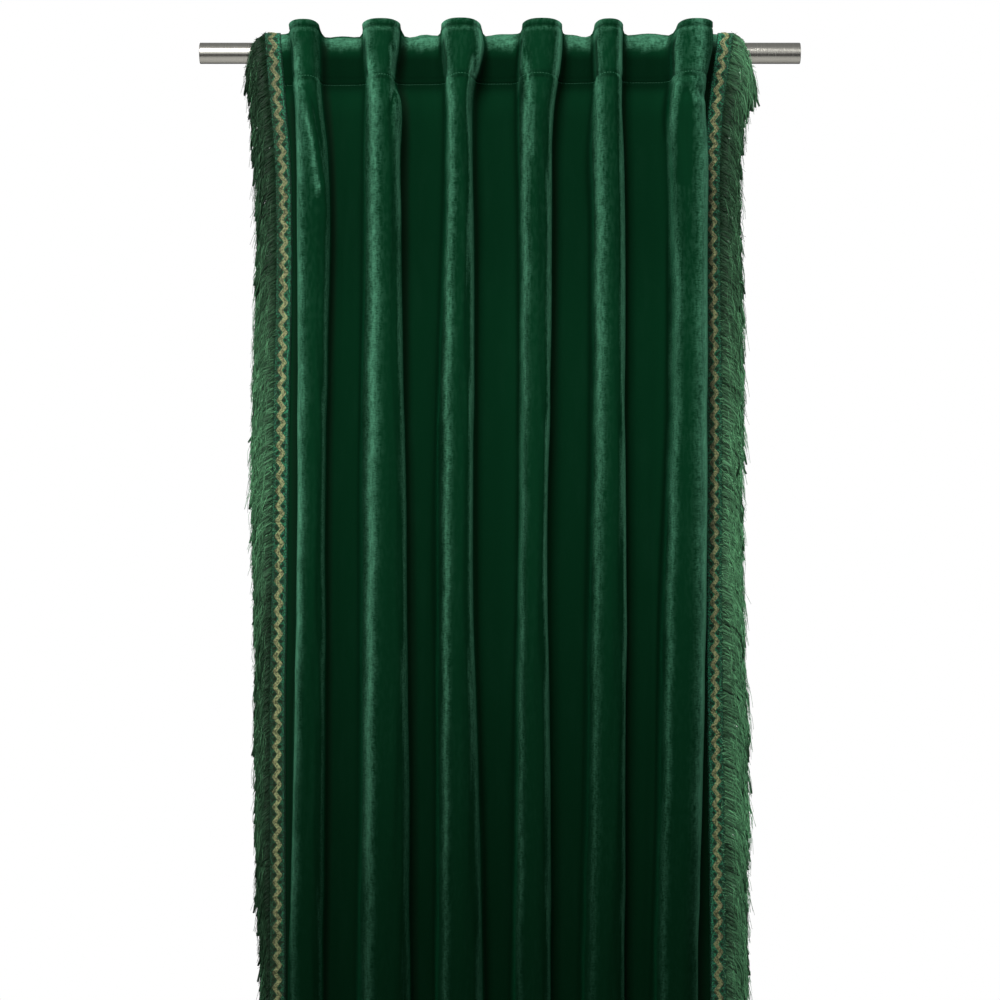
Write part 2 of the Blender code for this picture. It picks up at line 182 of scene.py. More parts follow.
def grain(start, scale, detail=2.0, roughness=0.5, place=None):
    """Noise over a piece, stretched by a scale for each axis."""
    place = place or start.node("ShaderNodeTexCoord", output="Object")
    moved = start.node("ShaderNodeMapping", inputs={"Vector": place, "Scale": scale})
    return start.node("ShaderNodeTexNoise", inputs={
        "Vector": moved, "Scale": 1.0, "Detail": detail, "Roughness": roughness})


def raised(start, height, distance, strength=1.0):
    """A bump of a height between 0 and 1, that many metres deep."""
    return start.node("ShaderNodeBump", inputs={
        "Height": height, "Distance": distance, "Strength": strength}, output="Normal")


def linked(name, mesh, *materials, angle=180):
    """A smooth-shaded object from a mesh, with its materials."""
    mesh.shade_smooth()
    if angle < 180:
        mesh.set_sharp_from_angle(angle=math.radians(angle))
    for material in materials:
        mesh.materials.append(material)
    return placed(name, mesh)


def from_bmesh(name, shape, *materials, angle=180):
    """The same from a bmesh, which is used up."""
    mesh = bpy.data.meshes.new(name)
    shape.to_mesh(mesh)
    shape.free()
    return linked(name, mesh, *materials, angle=angle)


pale, start = surface("pale_floor", Roughness=0.9)
speck = grain(start, (9, 9, 9), 4)
feed(start, Base_Color=start.mix(speck, (0.80, 0.80, 0.79, 1), (0.86, 0.86, 0.85, 1)))
shape = bmesh.new()
bmesh.ops.create_circle(shape, cap_ends=True, segments=96, radius=3.0,
                        matrix=Matrix.Translation((0, 0, FLOOR_LEVEL)))
from_bmesh("floor", shape, pale)


# -------------------------------- rod
# Plain round tube of satin steel, 25 mm across, brushed round its girth. Both ends are cut
# square and lightly broken. It lies on brackets that belong to the wall.

ROD_RADIUS = 12.5 * MM
ROD_LENGTH = 714 * MM
ROD_EDGE = 0.8 * MM

satin, start = surface("satin_steel", Metallic=1.0, Roughness=0.3)
girth = grain(start, (900, 14, 14), 3)
cloud = grain(start, (12, 40, 40), 3)
feed(start,
     Base_Color=start.mix(cloud * 0.5 + girth * 0.5, (0.52, 0.50, 0.44, 1), (0.70, 0.68, 0.61, 1)),
     Roughness=girth * 0.12 + cloud * 0.08 + 0.15,
     Normal=raised(start, girth, 0.00003, 0.25))

shape = bmesh.new()
bmesh.ops.create_cone(shape, cap_ends=True, segments=96, radius1=ROD_RADIUS, radius2=ROD_RADIUS,
                      depth=ROD_LENGTH, matrix=Matrix.Rotation(math.radians(90), 4, "Y"))
rims = [edge for edge in shape.edges if len(edge.link_faces) == 2
        and any(len(face.verts) > 4 for face in edge.link_faces)]
bmesh.ops.bevel(shape, geom=rims, offset=ROD_EDGE, affect="EDGES", segments=3, profile=0.5,
                material=-1)
rod = from_bmesh("curtain_rod", shape, satin, angle=40)
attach(rod, "root")
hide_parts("rod")


# -------------------------------- velvet panel
# One length of heavy cotton velvet, 1.13 m wide and 2.40 m long. Its top is turned back 60 mm
# and stitched, its foot has an 80 mm hem, and it hangs in six uneven folds. Between the folds
# the heading bends back over the rod.

CLOTH_THICKNESS = 2.0 * MM
TURNED_THICKNESS = 2.8 * MM
HEADING_DROP = 60 * MM
HEM_DROP = 2320 * MM
CLOTH_LENGTH = 2400 * MM
TOP_ABOVE_ROD = 28 * MM
LIE_RADIUS = 21 * MM
HEADING_WALL = 30 * MM
BRAID_WIDTH = 19 * MM
STRIP_WIDTH = 5.0 * MM
STRIP_GAP = 0.6 * MM
STRIP_PROUD = 0.4 * MM

# Side edges: X of the braid's outer edge at each drop, and which way the cloth lies from it
EDGE_DROPS = (0, 49, 85, 156, 275, 442, 680, 799, 1132, 1750, 2400)
EDGES = {"left": (-280, -276, -273, -267, -265, -268, -271, -273, -273, -278, -284),
         "right": (278, 271, 266, 261, 261, 263, 263, 264, 268, 270, 274)}
INWARD = {"left": 1, "right": -1}

# Folds from left to right: the X of both sides, how far it stands out, and how much it
# narrows at the back on each side
FOLD_DROPS = (0, 30, 66, 100, 156, 240, 442, 680, 918, 1132, 1750, 2400)
DEPTH_DROPS = (0, 156, 680, 1132, 2400)
FOLDS = (
    {"left": (-247, -244, -242, -240, -239, -238, -237, -238, -243, -248, -252, -257),
     "right": (-212, -211, -210, -207, -201, -198, -202, -204, -204, -207, -209, -212),
     "depth": (60, 62, 60, 58, 62), "tuck_left": 2, "tuck_right": 3, "steps": 20},
    {"left": (-161, -159, -157, -158, -158, -158, -160, -160, -160, -163, -165, -166),
     "right": (-116, -118, -122, -115, -115, -114, -111, -107, -105, -104, -106, -110),
     "depth": (66, 68, 72, 70, 66), "tuck_left": 2, "tuck_right": 4, "steps": 14},
    {"left": (-68, -66, -62, -62, -62, -63, -69, -71, -69, -70, -71, -74),
     "right": (-24, -21, -30, -34, -33, -31, -31, -31, -25, -21, -22, -24),
     "depth": (70, 72, 68, 72, 68), "tuck_left": 1, "tuck_right": -1, "steps": 13},
    {"left": (26, 23, 21, 21, 22, 24, 26, 24, 20, 18, 16, 14),
     "right": (72, 72, 68, 63, 61, 61, 59, 56, 60, 60, 60, 63),
     "depth": (68, 66, 70, 68, 70), "tuck_left": 3, "tuck_right": 1, "steps": 13},
    {"left": (111, 111, 112, 110, 107, 110, 112, 108, 105, 100, 97, 98),
     "right": (143, 142, 142, 142, 145, 147, 147, 148, 147, 145, 144, 148),
     "depth": (64, 66, 64, 62, 64), "tuck_left": 2, "tuck_right": 0, "steps": 12},
    {"left": (208, 201, 201, 197, 200, 203, 203, 193, 190, 184, 185, 192),
     "right": (251, 251, 244, 243, 246, 246, 246, 245, 240, 234, 234, 240),
     "depth": (66, 70, 68, 64, 62), "tuck_left": 2, "tuck_right": 9, "steps": 14},
)
VALLEY_DROPS = (0, 72, 380, 1132, 2400)
VALLEYS = ((0, 0, 5, 3, 6), (0, 0, -3, 2, -4), (0, 0, 4, -2, 3), (0, 0, -2, 4, 5), (0, 0, 3, 6, 2))
# How far the heading's top rises or sinks between two folds, from left to right, and the drop
# at which its painted highlight begins
TOP_SHARES = (-10, -8, -4, 0, 4, 8, 10)
TOPS = ((-2.0, -4.2, -3.0, -2.3, -3.0, -4.0, -2.0), (-2.0, -3.8, -3.0, -0.5, -0.8, -3.2, -2.0),
        (-2.0, -4.0, -0.9, 0.2, 0.2, 0.3, 0.0), (0.0, -0.5, -0.4, -1.4, -3.3, -2.3, -1.0),
        (-1.0, -2.0, -0.1, 1.0, 0.3, -2.0, -1.0))
HIGHLIGHT_FROM = (3, -3, -3, -4, 0)
SLANT_DROPS = (0, 80, 200, 460, 1132, 2400)
SLANT = (0, 0, 2, 4, 5, 6)           # how far a fold's left side leans out to the left
SLANTED = (0.0, 1.0, 1.0, 0.8, 1.0, 1.0)
SHARP = (0, 0, 6, 7, 5, 4)           # how far a fold's right root is tucked back, and under
ARCH_DEPTH = 4.0 * MM
SEAM_DROP, SEAM_ARCH = 67.5, 4.0    # the heading's stitching
SEAM_TILT = 0.0086                  # how much it rises to the right
HEM_STITCH_DROP = 2321.0
PRESSED_DROP = 6.8                  # the line pressed into the heading's top
ROOT_STEPS, VALLEY_STEPS = 4, 4
EDGE_STEPS = 3                      # across the flat cloth under each braid

# Soft ridges and troughs that run down a fold: its points as X and drop, how wide it is on
# the left and on the right of its line, and its height
CREASES = (
    (((-232, 72), (-222, 100), (-215, 140), (-208, 190), (-205, 240)), 20, 5, 3.6),
    (((-208, 190), (-212, 204), (-218, 210)), 6, 6, 1.6),
    (((-126, 30), (-122, 70), (-127, 108), (-125, 150)), 4, 5, -3.0),
    (((-118, 60), (-114, 105), (-113, 165), (-114, 240)), 7, 6, 2.4),
    (((-149, 50), (-145, 90), (-146, 150), (-148, 240)), 8, 6, 1.8),
    (((-30, 45), (-34, 80), (-36, 112)), 4, 4, -2.4),
    (((-25, 30), (-27, 66), (-30, 100)), 5, 4, 1.6),
    (((-60, 60), (-57, 100), (-55, 160), (-56, 250)), 7, 6, 1.6),
    (((31, 36), (34, 66), (36, 90)), 4, 6, -2.2),
    (((33, 76), (31, 120), (32, 200)), 5, 4, -1.2),
    (((38, 60), (38, 110), (40, 200), (40, 300)), 6, 6, 1.6),
    (((113, 70), (117, 110), (119, 190)), 6, 6, 1.5),
    (((206, 76), (203, 100), (199, 140)), 7, 7, 2.6),
    (((216, 78), (214, 110), (213, 150)), 8, 8, -3.2),
    (((221, 74), (227, 98), (233, 130), (235, 180)), 5, 8, 3.0),
)
# Painted highlights down the folds: X, how far they fade to the left and right, how bright
# they are, and how much painted shade darkens the flank beside them
SHINE_DROPS = (37, 60, 83, 107, 153, 188, 281, 443, 676, 908, 1024, 1105)
SHINES = (
    ((-244, -239, -236, -236, -236, -236, -236, -235, -236, -241, -242, -242), (3, 4.8),
     (1.1, 1.0, 1.0, 1.1, 1.3, 1.45, 1.6, 1.7, 1.6, 1.6, 1.1, 0.3), 0.3),
    ((-158, -152, -149, -147, -147, -148, -146, -148, -150, -152, -152, -153), (6.5, 5.2),
     (1.6, 1.2, 0.85, 0.82, 0.82, 0.76, 0.76, 0.8, 0.85, 0.85, 0.45, 0.4), 0.35),
    ((-65, -62, -59, -57, -57, -57, -59, -61, -62, -63, -63, -63), (4, 3.8),
     (1.6, 1.35, 0.95, 0.82, 0.8, 0.8, 0.8, 0.66, 0.52, 0.55, 0.36, 0.36), 0.5),
    ((26, 31, 34, 31, 30, 30, 30, 28, 26, 25, 24, 23), (5.2, 3.4),
     (0.55, 0.75, 0.75, 0.8, 0.8, 0.8, 0.85, 0.7, 0.5, 0.38, 0.3, 0.15), 0.6),
    ((110, 111, 113, 113, 115, 116, 116, 116, 113, 111, 109, 107), (4.5, 5.0),
     (1.5, 1.3, 0.85, 0.72, 0.72, 0.78, 0.88, 0.76, 0.34, 0.22, 0.2, 0.15), 0.6),
    ((207, 207, 205, 202, 200, 200, 206, 205, 199, 195, 191, 191), (4.5, 3.8),
     (0.6, 0.55, 0.55, 0.66, 0.68, 0.66, 0.72, 0.64, 0.44, 0.32, 0.3, 0.25), 0.6),
    ((234, 234, 235, 239, 241, 242, 242, 242, 240, 237, 235, 234), (7.5, 5),
     (0.55, 0.6, 0.85, 1.1, 1.3, 1.6, 1.9, 1.9, 2.0, 2.0, 1.3, 0.8), 0.0),
)
# How bright the painted highlight on each fold's right edge is, below the heading and in it
RIM_HIGHLIGHT = ((0.5, 0.1), (0.65, 0.6), (1.0, 1.05), (1.2, 1.3), (1.3, 1.1), (0.9, 0.2))
FIRST_FOLD, OPENING_FOLD = 0, 3     # the one beside the braid, and one whose foot spreads
SHADED_FOLDS = (3, 4, 5)            # the left sides of their headings lie in shade
# Painted highlights and painted shadows that belong to the creases, laid out like them
PAINTED_STREAKS = (
    (((-228, 98), (-225, 110), (-219, 141), (-213, 188), (-210, 198)), 12, 3, 0.22),
    (((-225, 110), (-219, 141), (-213, 188), (-210, 198)), 4.5, 3, 0.50),
    (((-226, 80), (-216, 110), (-210, 150), (-204, 200), (-204, 240)), 3, 8, -0.15),
    (((-210, 192), (-214, 204), (-219, 208)), 4, 3, 0.35),
    (((-126, 76), (-121, 110), (-119, 170), (-118, 240)), 7, 4, 0.32),
    (((-119, 26), (-121, 60), (-124, 84), (-129, 108)), 3, 3, -0.5),
    (((-30, 50), (-33, 80), (-37, 112)), 3, 3, -0.35),
    (((-236, 28), (-236, 62)), 5, 7, 0.4),
    (((-27, 34), (-26, 62)), 3, 3, 0.45),
    (((25, 34), (24, 58), (22, 82)), 3, 2.5, 0.6),
    (((28, 34), (30, 66), (33, 80)), 2.5, 2.5, -0.4),
    (((32, 80), (31, 120), (31, 190)), 2.5, 2.5, -0.22),
    (((205, 56), (202, 74)), 3, 3, 0.5),
    (((217, 86), (216, 100), (215, 130), (214, 190)), 10, 10, -0.35),
    (((217, 84), (217, 104)), 5, 5, -0.4),
    (((222, 84), (226, 92), (233, 99)), 5, 5, 0.3),
    (((231, 74), (235, 93)), 5, 4, -0.5),
    (((206, 68), (214, 64), (222, 66), (228, 74)), 3, 3, 0.4),
    (((196, 92), (194, 150)), 4, 4, -0.6),
    (((36, 96), (37, 160)), 6, 6, 0.28),
)
# Dimples and pinches: X, drop, half width, half height, lean, height
DIMPLES = (
    (234, 86, 5, 6, 0.4, -3.2),
    (228, 98, 6, 3, 0.0, 2.2),
    (217, 86, 5, 5, 0.0, -2.0),
    (212, 74, 9, 4, 0.0, 1.2),
    (-122, 58, 8, 3, 0.2, -1.0),
    (-47, 16, 16, 4, 0.0, -1.2),
    (122, 18, 12, 4, 0.0, -1.1),
    (-234, 22, 10, 4, -0.3, 1.3),
    (-212, 207, 5, 4, 0.6, -1.4),
)


def smooth(value):
    """Rise from 0 to 1 with level ends."""
    value = np.clip(value, 0.0, 1.0)
    return value * value * (3.0 - 2.0 * value)


def span(value, start, rise, end, fall):
    """1 between a start and an end, with soft slopes inside them, and 0 outside."""
    return smooth((value - start) / rise) * smooth((end - value) / fall)


def ridge(value, middle, half_width):
    """1 at a middle, and 0 beyond a half width."""
    return smooth(1 - np.abs(value - middle) / half_width)


def follow(drops, values, drop):
    """Smooth curve through a table's values, in metres, at drops in metres."""
    known, given = np.array(drops, float), np.array(values, float)
    slopes = np.gradient(given, known)
    slopes[1:-1] = (given[2:] - given[:-2]) / (known[2:] - known[:-2])
    at = np.clip(np.asarray(drop, float) / MM, known[0], known[-1])
    left = np.clip(np.searchsorted(known, at, side="left") - 1, 0, len(known) - 2)
    gap = known[left + 1] - known[left]
    t = (at - known[left]) / gap
    eased = smooth(t)
    value = given[left] * (1.0 - eased) + given[left + 1] * eased
    return MM * (value + t * (1.0 - t) * gap * ((1.0 - t) * slopes[left] - t * slopes[left + 1]))


def edge_columns(drop, side):
    """Plan points of the cloth under a braid, from its side edge to the braid's inner edge."""
    cloth_edge = STRIP_WIDTH + STRIP_GAP - STRIP_PROUD
    offsets = np.linspace(cloth_edge, BRAID_WIDTH, EDGE_STEPS + 1)
    start = follow(EDGE_DROPS, EDGES[side], drop)
    return [Vector((start + INWARD[side] * offset, 0.0)) for offset in offsets]


def bend(start, corner, end, steps):
    """Points on a parabola that starts towards a corner and leaves it towards an end."""
    places = [i / steps for i in range(steps)]
    return [start.lerp(corner, t).lerp(corner.lerp(end, t), t) for t in places]


def plan(drop):
    """The cloth seen from above at a drop: points of X and distance forward, left to right."""
    left_edge, right_edge = edge_columns(drop, "left"), edge_columns(drop, "right")
    corners = [(left_edge[-1], 0)]
    for number, fold in enumerate(FOLDS):
        left = follow(FOLD_DROPS, fold["left"], drop)
        right = follow(FOLD_DROPS, fold["right"], drop)
        depth = follow(DEPTH_DROPS, fold["depth"], drop)
        slant = follow(SLANT_DROPS, SLANT, drop) * SLANTED[number]
        sharp = follow(SLANT_DROPS, SHARP, drop)
        back_left = left + fold["tuck_left"] * MM - slant
        back_right = right - fold["tuck_right"] * MM - sharp * 0.3
        corners += [(Vector((back_left, 0.0)), ROOT_STEPS),
                    (Vector((left, depth)), fold["steps"]),
                    (Vector((right, depth)), fold["steps"]),
                    (Vector((back_right, -sharp)), ROOT_STEPS)]
        if number < len(VALLEYS):
            beyond = follow(FOLD_DROPS, FOLDS[number + 1]["left"], drop)
            forward = follow(VALLEY_DROPS, VALLEYS[number], drop)
            corners.append((Vector(((back_right + beyond) / 2, forward)), VALLEY_STEPS))
    corners.append((right_edge[-1], 0))

    points = list(left_edge[:-1])
    start = corners[0][0]
    for i in range(1, len(corners) - 1):
        corner, steps = corners[i]
        after = corners[i + 1][0]
        end = after if i == len(corners) - 2 else (corner + after) / 2
        points += bend(start, corner, end, steps)
        start = end
    return np.array(points + right_edge[::-1])


def hang(points, drop):
    """Place plan points on the hanging cloth. Between folds the heading leans over the rod."""
    x, forward = points.T
    height = TOP_ABOVE_ROD - drop
    level = np.full_like(x, height)
    upright = np.stack([x, -(LIE_RADIUS + forward), level], axis=1)
    if height <= 0:
        return upright
    angle = height / LIE_RADIUS
    over = np.stack([x, -(LIE_RADIUS * math.cos(angle) + forward),
                     np.full_like(x, LIE_RADIUS * math.sin(angle))], axis=1)
    share = smooth(forward / HEADING_WALL)[:, None]
    return over * (1.0 - share) + upright * share


def unit(vectors):
    """A grid of vectors, each brought to a length of 1."""
    return vectors / np.linalg.norm(vectors, axis=2, keepdims=True)


def facing(points):
    """Unit normals of a grid of points, pointing forward."""
    return unit(np.cross(np.gradient(points, axis=0), np.gradient(points, axis=1)))


def seam_drop(x, forward, off_middle):
    """Drop of the heading's stitching, which arches up over each fold's front."""
    arched = smooth((forward - 20) / 40) * (1 - np.minimum(off_middle, 1) ** 2)
    return SEAM_DROP - SEAM_TILT * x - SEAM_ARCH * arched


def crease(x, drop, line, wide_left, wide_right, before, after):
    """1 along a line of points, and 0 beyond its width and its soft ends."""
    places, drops = np.array(line, float).T
    aside = x - np.interp(drop, drops, places)
    return ridge(aside, 0, np.where(aside < 0, wide_left, wide_right)) \
        * span(drop, drops[0] - before, 2 * before, drops[-1] + after, 2 * after)


def relief(x, drop, forward, seam):
    """Height of creases, dimples, seams and small unevenness over the cloth, in millimetres."""
    height = np.zeros_like(x)
    on_fold = smooth((forward - 30) / 20)
    for *line, tall in CREASES:
        height += on_fold * tall * crease(x, drop, *line, 8, 30)
    for place, middle, half_width, half_height, lean, tall in DIMPLES:
        aside = (x - place - lean * (drop - middle)) / half_width
        along = (drop - middle) / half_height
        height += on_fold * tall * smooth(1 - np.hypot(aside, along) / 2)
    height -= 1.0 * ridge(drop, PRESSED_DROP, 2.6)
    height -= 0.9 * ridge(drop, seam, 3.0)
    height -= 0.9 * ridge(drop, HEM_DROP / MM, 14)
    low = smooth((drop - 40) / 160)
    height += low * 0.55 * np.sin(x * 0.31 + drop * 0.011 + 2.0 * np.sin(drop * 0.0063 + x * 0.05))
    height += low * 0.40 * np.sin(x * 0.73 - drop * 0.017 + 1.7 * np.sin(drop * 0.021))
    return height


def in_rows(drops, values):
    """A table's values at the cloth's rows."""
    return follow(drops, values, row_drops * MM)[:, None] / MM


def woven(name, points, thickness, *materials, angle=180):
    """A sheet through a grid of points, facing forward, with its corners in the grid's order
    and half of its thickness to each side."""
    rows, columns = points.shape[:2]
    shape = bmesh.new()
    bmesh.ops.create_grid(shape, x_segments=columns - 1, y_segments=rows - 1, size=0.5)
    for vert in shape.verts:
        column = round((vert.co.x + 0.5) * (columns - 1))
        row = round((0.5 - vert.co.y) * (rows - 1))
        vert.co = points[row, column]
        vert.index = row * columns + column
    shape.verts.sort()
    bmesh.ops.recalc_face_normals(shape, faces=shape.faces)
    if sum(face.normal.y for face in shape.faces) > 0:
        bmesh.ops.reverse_faces(shape, faces=shape.faces)
    made = from_bmesh(name, shape, *materials, angle=angle)
    body = made.modifiers.new("thickness", "SOLIDIFY")
    body.thickness, body.offset = thickness, 0.0
    return made


def store(made, name, values, kind="FLOAT"):
    """Keep a number, or a place, for each point of a piece."""
    kept = made.data.attributes.new(name, kind, "POINT")
    kept.data.foreach_set("vector" if kind == "FLOAT_VECTOR" else "value",
                          np.asarray(values, np.float32).ravel())


row_drops = np.r_[0:12:1.5, 12:60:3, 60:75:1.2, 75:200:4, 200:560:10, 560:1200:20, 1200:2300:50,
                  2300:2340:5, 2340:2400:12, 2400.0]
plans = np.stack([plan(drop * MM) for drop in row_drops])
cloth = np.stack([hang(points, drop * MM) for points, drop in zip(plans, row_drops)])
drop_grid = np.repeat(row_drops[:, None], cloth.shape[1], axis=1)
forward_grid = plans[:, :, 1] / MM
fold_sides = [(in_rows(FOLD_DROPS, fold["left"]), in_rows(FOLD_DROPS, fold["right"]))
              for fold in FOLDS]

# Each fold's top is a low arch
x_grid = cloth[:, :, 0] / MM
arch = np.zeros_like(drop_grid)
off_middle = np.full_like(drop_grid, 9.0)   # of a fold, 1 at its sides
for left, right in fold_sides:
    share = np.abs(x_grid * 2 - left - right) / (right - left)
    arch += np.where(share < 1.3, share ** 3, 0)
    off_middle = np.minimum(off_middle, share)
cloth[:, :, 2] -= ARCH_DEPTH * arch * smooth(forward_grid / 30) * smooth(1 - drop_grid / 50)
seam = seam_drop(x_grid, forward_grid, off_middle)
normals = facing(cloth)

# Between the folds the heading lifts a little off the rod in the middle
lift = np.zeros_like(drop_grid)
highlight_from = np.zeros_like(drop_grid)
inside = np.ones_like(drop_grid)            # away from the folds on both sides
for (_, left), (right, _), tops, highlight_drop in zip(fold_sides, fold_sides[1:], TOPS, HIGHLIGHT_FROM):
    share = (x_grid - left) / (right - left) * 2 - 1
    here = np.abs(share) < 1
    humps = follow(TOP_SHARES, tops, share * 10 * MM) / MM
    lift += np.where(here, humps, 0) * smooth(1 - drop_grid / 42)
    highlight_from = np.where(here, highlight_drop, highlight_from)
    near_end = (1 - np.abs(share)) * (right - left) / 2
    inside = np.where(here, smooth((near_end - 1) / 8), inside)
lift *= 1 - smooth(forward_grid / 14)
lift += relief(x_grid, drop_grid, forward_grid, seam)
cloth = cloth + normals * lift[:, :, None] * MM
normals = facing(cloth)

# How much painted highlight lies on the pile, how much painted shade darkens it, how deep a
# place lies beside a fold, where painted shadow falls, and how crushed its pile is
turned_by = np.degrees(np.arctan2(-normals[:, :, 0], -normals[:, :, 1]))
x_grid = cloth[:, :, 0] / MM
on_fold = smooth((forward_grid - 10) / 16)
between = 1 - smooth((forward_grid - 3) / 16)
flat = 1 - smooth((forward_grid - 4) / 14)
in_heading = smooth((68 - drop_grid) / 5)
crushed = smooth((forward_grid - 22) / 24)
nap = np.zeros_like(drop_grid)

# Painted shade low down, in the upper part of the folds, and in the heading's flat parts
dim = (0.60 - 0.12 * (1 - crushed)) * smooth((drop_grid - 420) / 860)
dim = np.maximum(dim, 0.15 * span(drop_grid, 85, 30, 360, 120))
dim = np.maximum(dim, 0.5 * flat * span(drop_grid, 28, 12, 82, 14))

# Painted highlights down the folds, and painted shade on the flanks beside them
for place, width, tall, flank in SHINES:
    wander = 0.8 * np.sin(drop_grid * 0.045 + place[0]) \
        + 0.5 * np.sin(drop_grid * 0.17 + 2 * place[0])
    aside = x_grid - in_rows(SHINE_DROPS, place) - wander * smooth((drop_grid - 80) / 80)
    fading = np.where(aside < 0, *width) * (1 - 0.25 * smooth((drop_grid - 450) / 300))
    nap += in_rows(SHINE_DROPS, tall) * on_fold * np.exp(-(np.abs(aside) / fading) ** 1.4)
    dim = np.maximum(dim, flank * span(aside, -26, 6, -2, 4) * smooth((forward_grid - 3) / 8)
                     * smooth((drop_grid - 20) / 40))

# Painted highlight between the folds, where the heading bends over the rod, as far down as the rod
rod_line = 30.5 + 1.2 * np.sin(x_grid * 0.19) + 1.3 * np.sin(x_grid * 0.47 + 2)
crinkled = 1 + 0.28 * np.sin(x_grid * 0.30 + drop_grid * 0.25) \
    * np.sin(x_grid * 0.14 - drop_grid * 0.33)
nap += (0.50 + 0.22 * smooth((25 - drop_grid) / 10)) * between * (0.3 + 0.7 * inside) \
    * crinkled * span(drop_grid, highlight_from, 6, rod_line, 9)

# Painted highlight along the heading's top; painted shade in its pressed line and below its seam
nap += on_fold * (0.16 * smooth(1 - drop_grid / 6) + 0.22 * ridge(drop_grid, 11, 3))
dim = np.maximum(dim, 0.45 * on_fold * ridge(drop_grid, 7.5, 3))
dim = np.maximum(dim, 0.5 * on_fold * smooth(1 - off_middle) * ridge(drop_grid, seam + 3, 3.5))

# Painted highlight down each fold's right edge, and painted shadow in the valleys beside it
# Painted shadow at the heading's top, close to the folds
deep = 0.7 * (1 - inside) * between * smooth((20 - drop_grid) / 8)
for number, ((left, right), (low, high)) in enumerate(zip(fold_sides, RIM_HIGHLIGHT)):
    rim = smooth((-turned_by - 52 + 14 * in_heading) / (20 + 10 * in_heading))
    rim *= smooth((112 + turned_by) / 24) * (1 + 0.8 * in_heading * smooth((-turned_by - 58) / 12))
    near = smooth((30 - np.abs(x_grid - right)) / 4) * smooth((forward_grid - 25) / 20)
    nap += rim * near * (high * in_heading + low * (1 - in_heading)) \
        * (1 - 0.5 * smooth((drop_grid - 500) / 450))
    # Painted shadow between the first fold and the braid
    if number == FIRST_FOLD:
        beside = span(x_grid - left, -9, 3, 6, 4) * smooth((26 - forward_grid) / 20)
        deep = np.maximum(deep, 0.75 * beside * smooth((drop_grid - 70) / 30))
    # Painted shade on the left sides of these folds' headings
    if number in SHADED_FOLDS:
        turned_left = smooth((turned_by - 64) / 8) * smooth((forward_grid - 2) / 8)
        dim = np.maximum(dim, 0.8 * turned_left * in_heading * smooth((drop_grid - 14) / 10))
    beside = span(x_grid - right, -14, 4, 6, 2) * smooth((36 - forward_grid) / 20)
    opened = smooth((drop_grid - 480) / 160) if number == OPENING_FOLD else 0
    softer = 1 - 0.4 * smooth((drop_grid - 200) / 400)
    deep = np.maximum(deep, beside * softer * smooth((drop_grid - 8) / 20) * (1 - opened))

crushed *= 1 - 0.6 * smooth((drop_grid - 250) / 200)
for *line, tall in PAINTED_STREAKS:
    nap += on_fold * tall * crease(x_grid, drop_grid, *line, 6, 6)
nap *= 0.72 + 0.28 * smooth((drop_grid - 350) / 450)

DARK_PILE, HIGHLIGHT_PILE = (0.0016, 0.0195, 0.0072, 1), (0.075, 0.245, 0.147, 1)
SHADOW_PILE, SHADE_PILE = (0.0042, 0.0110, 0.0058, 1), (0.0004, 0.0020, 0.0008, 1)

pile, start = surface(
    "green_velvet", Roughness=0.95, Specular_IOR_Level=0.0,
    Sheen_Weight=0.02, Sheen_Roughness=0.4, Sheen_Tint=(0.05, 1.0, 0.38, 1))
highlight_amount = start.stored("nap")
hair = grain(start, (230, 230, 760), 4, 0.6)
patch = grain(start, (60, 60, 12), 4, 0.62)
tuft = grain(start, (1500, 1500, 900), 2)
crumpled = start.ramp(grain(start, (330, 330, 100), 3, 0.55), 0.36, 0.64)
streaked = start.ramp(hair, 0.3, 0.7)
# The painted highlight, broken up at its edges by the pile's noise
ragged = highlight_amount * (streaked * 0.45 + crumpled * 0.40 + patch * 0.75 + 0.20) * 0.72
ragged = ragged + (crumpled - 0.45) * start.stored("crushed") * 0.035 + (patch - 0.5) * 0.035
shine_edge = start.node("ShaderNodeClamp", inputs={"Value": highlight_amount * (0.62 - highlight_amount) * 9})
ragged = ragged + (streaked * 0.75 + crumpled * 0.25 - 0.5) * shine_edge * 0.22
# turned: how much painted highlight shows
turned = start.node("ShaderNodeClamp", inputs={"Value": ragged})
# Painted shadow beside the folds, then painted shade, over the pile and its painted highlight
shaded = start.mix(start.stored("deep") * 0.68, start.mix(turned, DARK_PILE, HIGHLIGHT_PILE), SHADOW_PILE)
feed(start,
     Base_Color=start.mix(start.stored("dim"), shaded, SHADE_PILE),
     Normal=raised(start, hair * 0.5 + tuft * 0.5, 0.0008, 0.5))

backing, start = surface("velvet_back", Roughness=0.95, Specular_IOR_Level=0.15)
weave = grain(start, (1300, 1300, 420), 2)
feed(start,
     Base_Color=start.mix(weave, (0.006, 0.050, 0.026, 1), (0.014, 0.085, 0.045, 1)),
     Normal=raised(start, weave, 0.0003))

panel = woven("velvet_cloth", cloth, TURNED_THICKNESS, pile, backing)
for name, values in (("nap", nap), ("deep", deep), ("dim", dim), ("crushed", crushed)):
    store(panel, name, values)
thick = panel.vertex_groups.new(name="turned")
single = CLOTH_THICKNESS / TURNED_THICKNESS
columns = cloth.shape[1]
for row, drop in enumerate(row_drops):
    doubled = drop <= HEADING_DROP / MM or drop > HEM_DROP / MM
    points = list(range(row * columns, (row + 1) * columns))
    thick.add(points, 1.0 if doubled else single, "REPLACE")
body = panel.modifiers["thickness"]
body.use_even_offset = True
body.vertex_group = "turned"
body.material_offset, body.material_offset_rim = 1, 0
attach(panel, "root")
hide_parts("velvet_panel")


# -------------------------------- stitching
# A single row of green thread holds the turned heading, and another the hem. Each stitch is
# a short length of thread that sinks a little into the pile.

STITCH_PITCH = 3.4 * MM
STITCH_LENGTH = 2.7 * MM
THREAD_RADIUS = 0.26 * MM


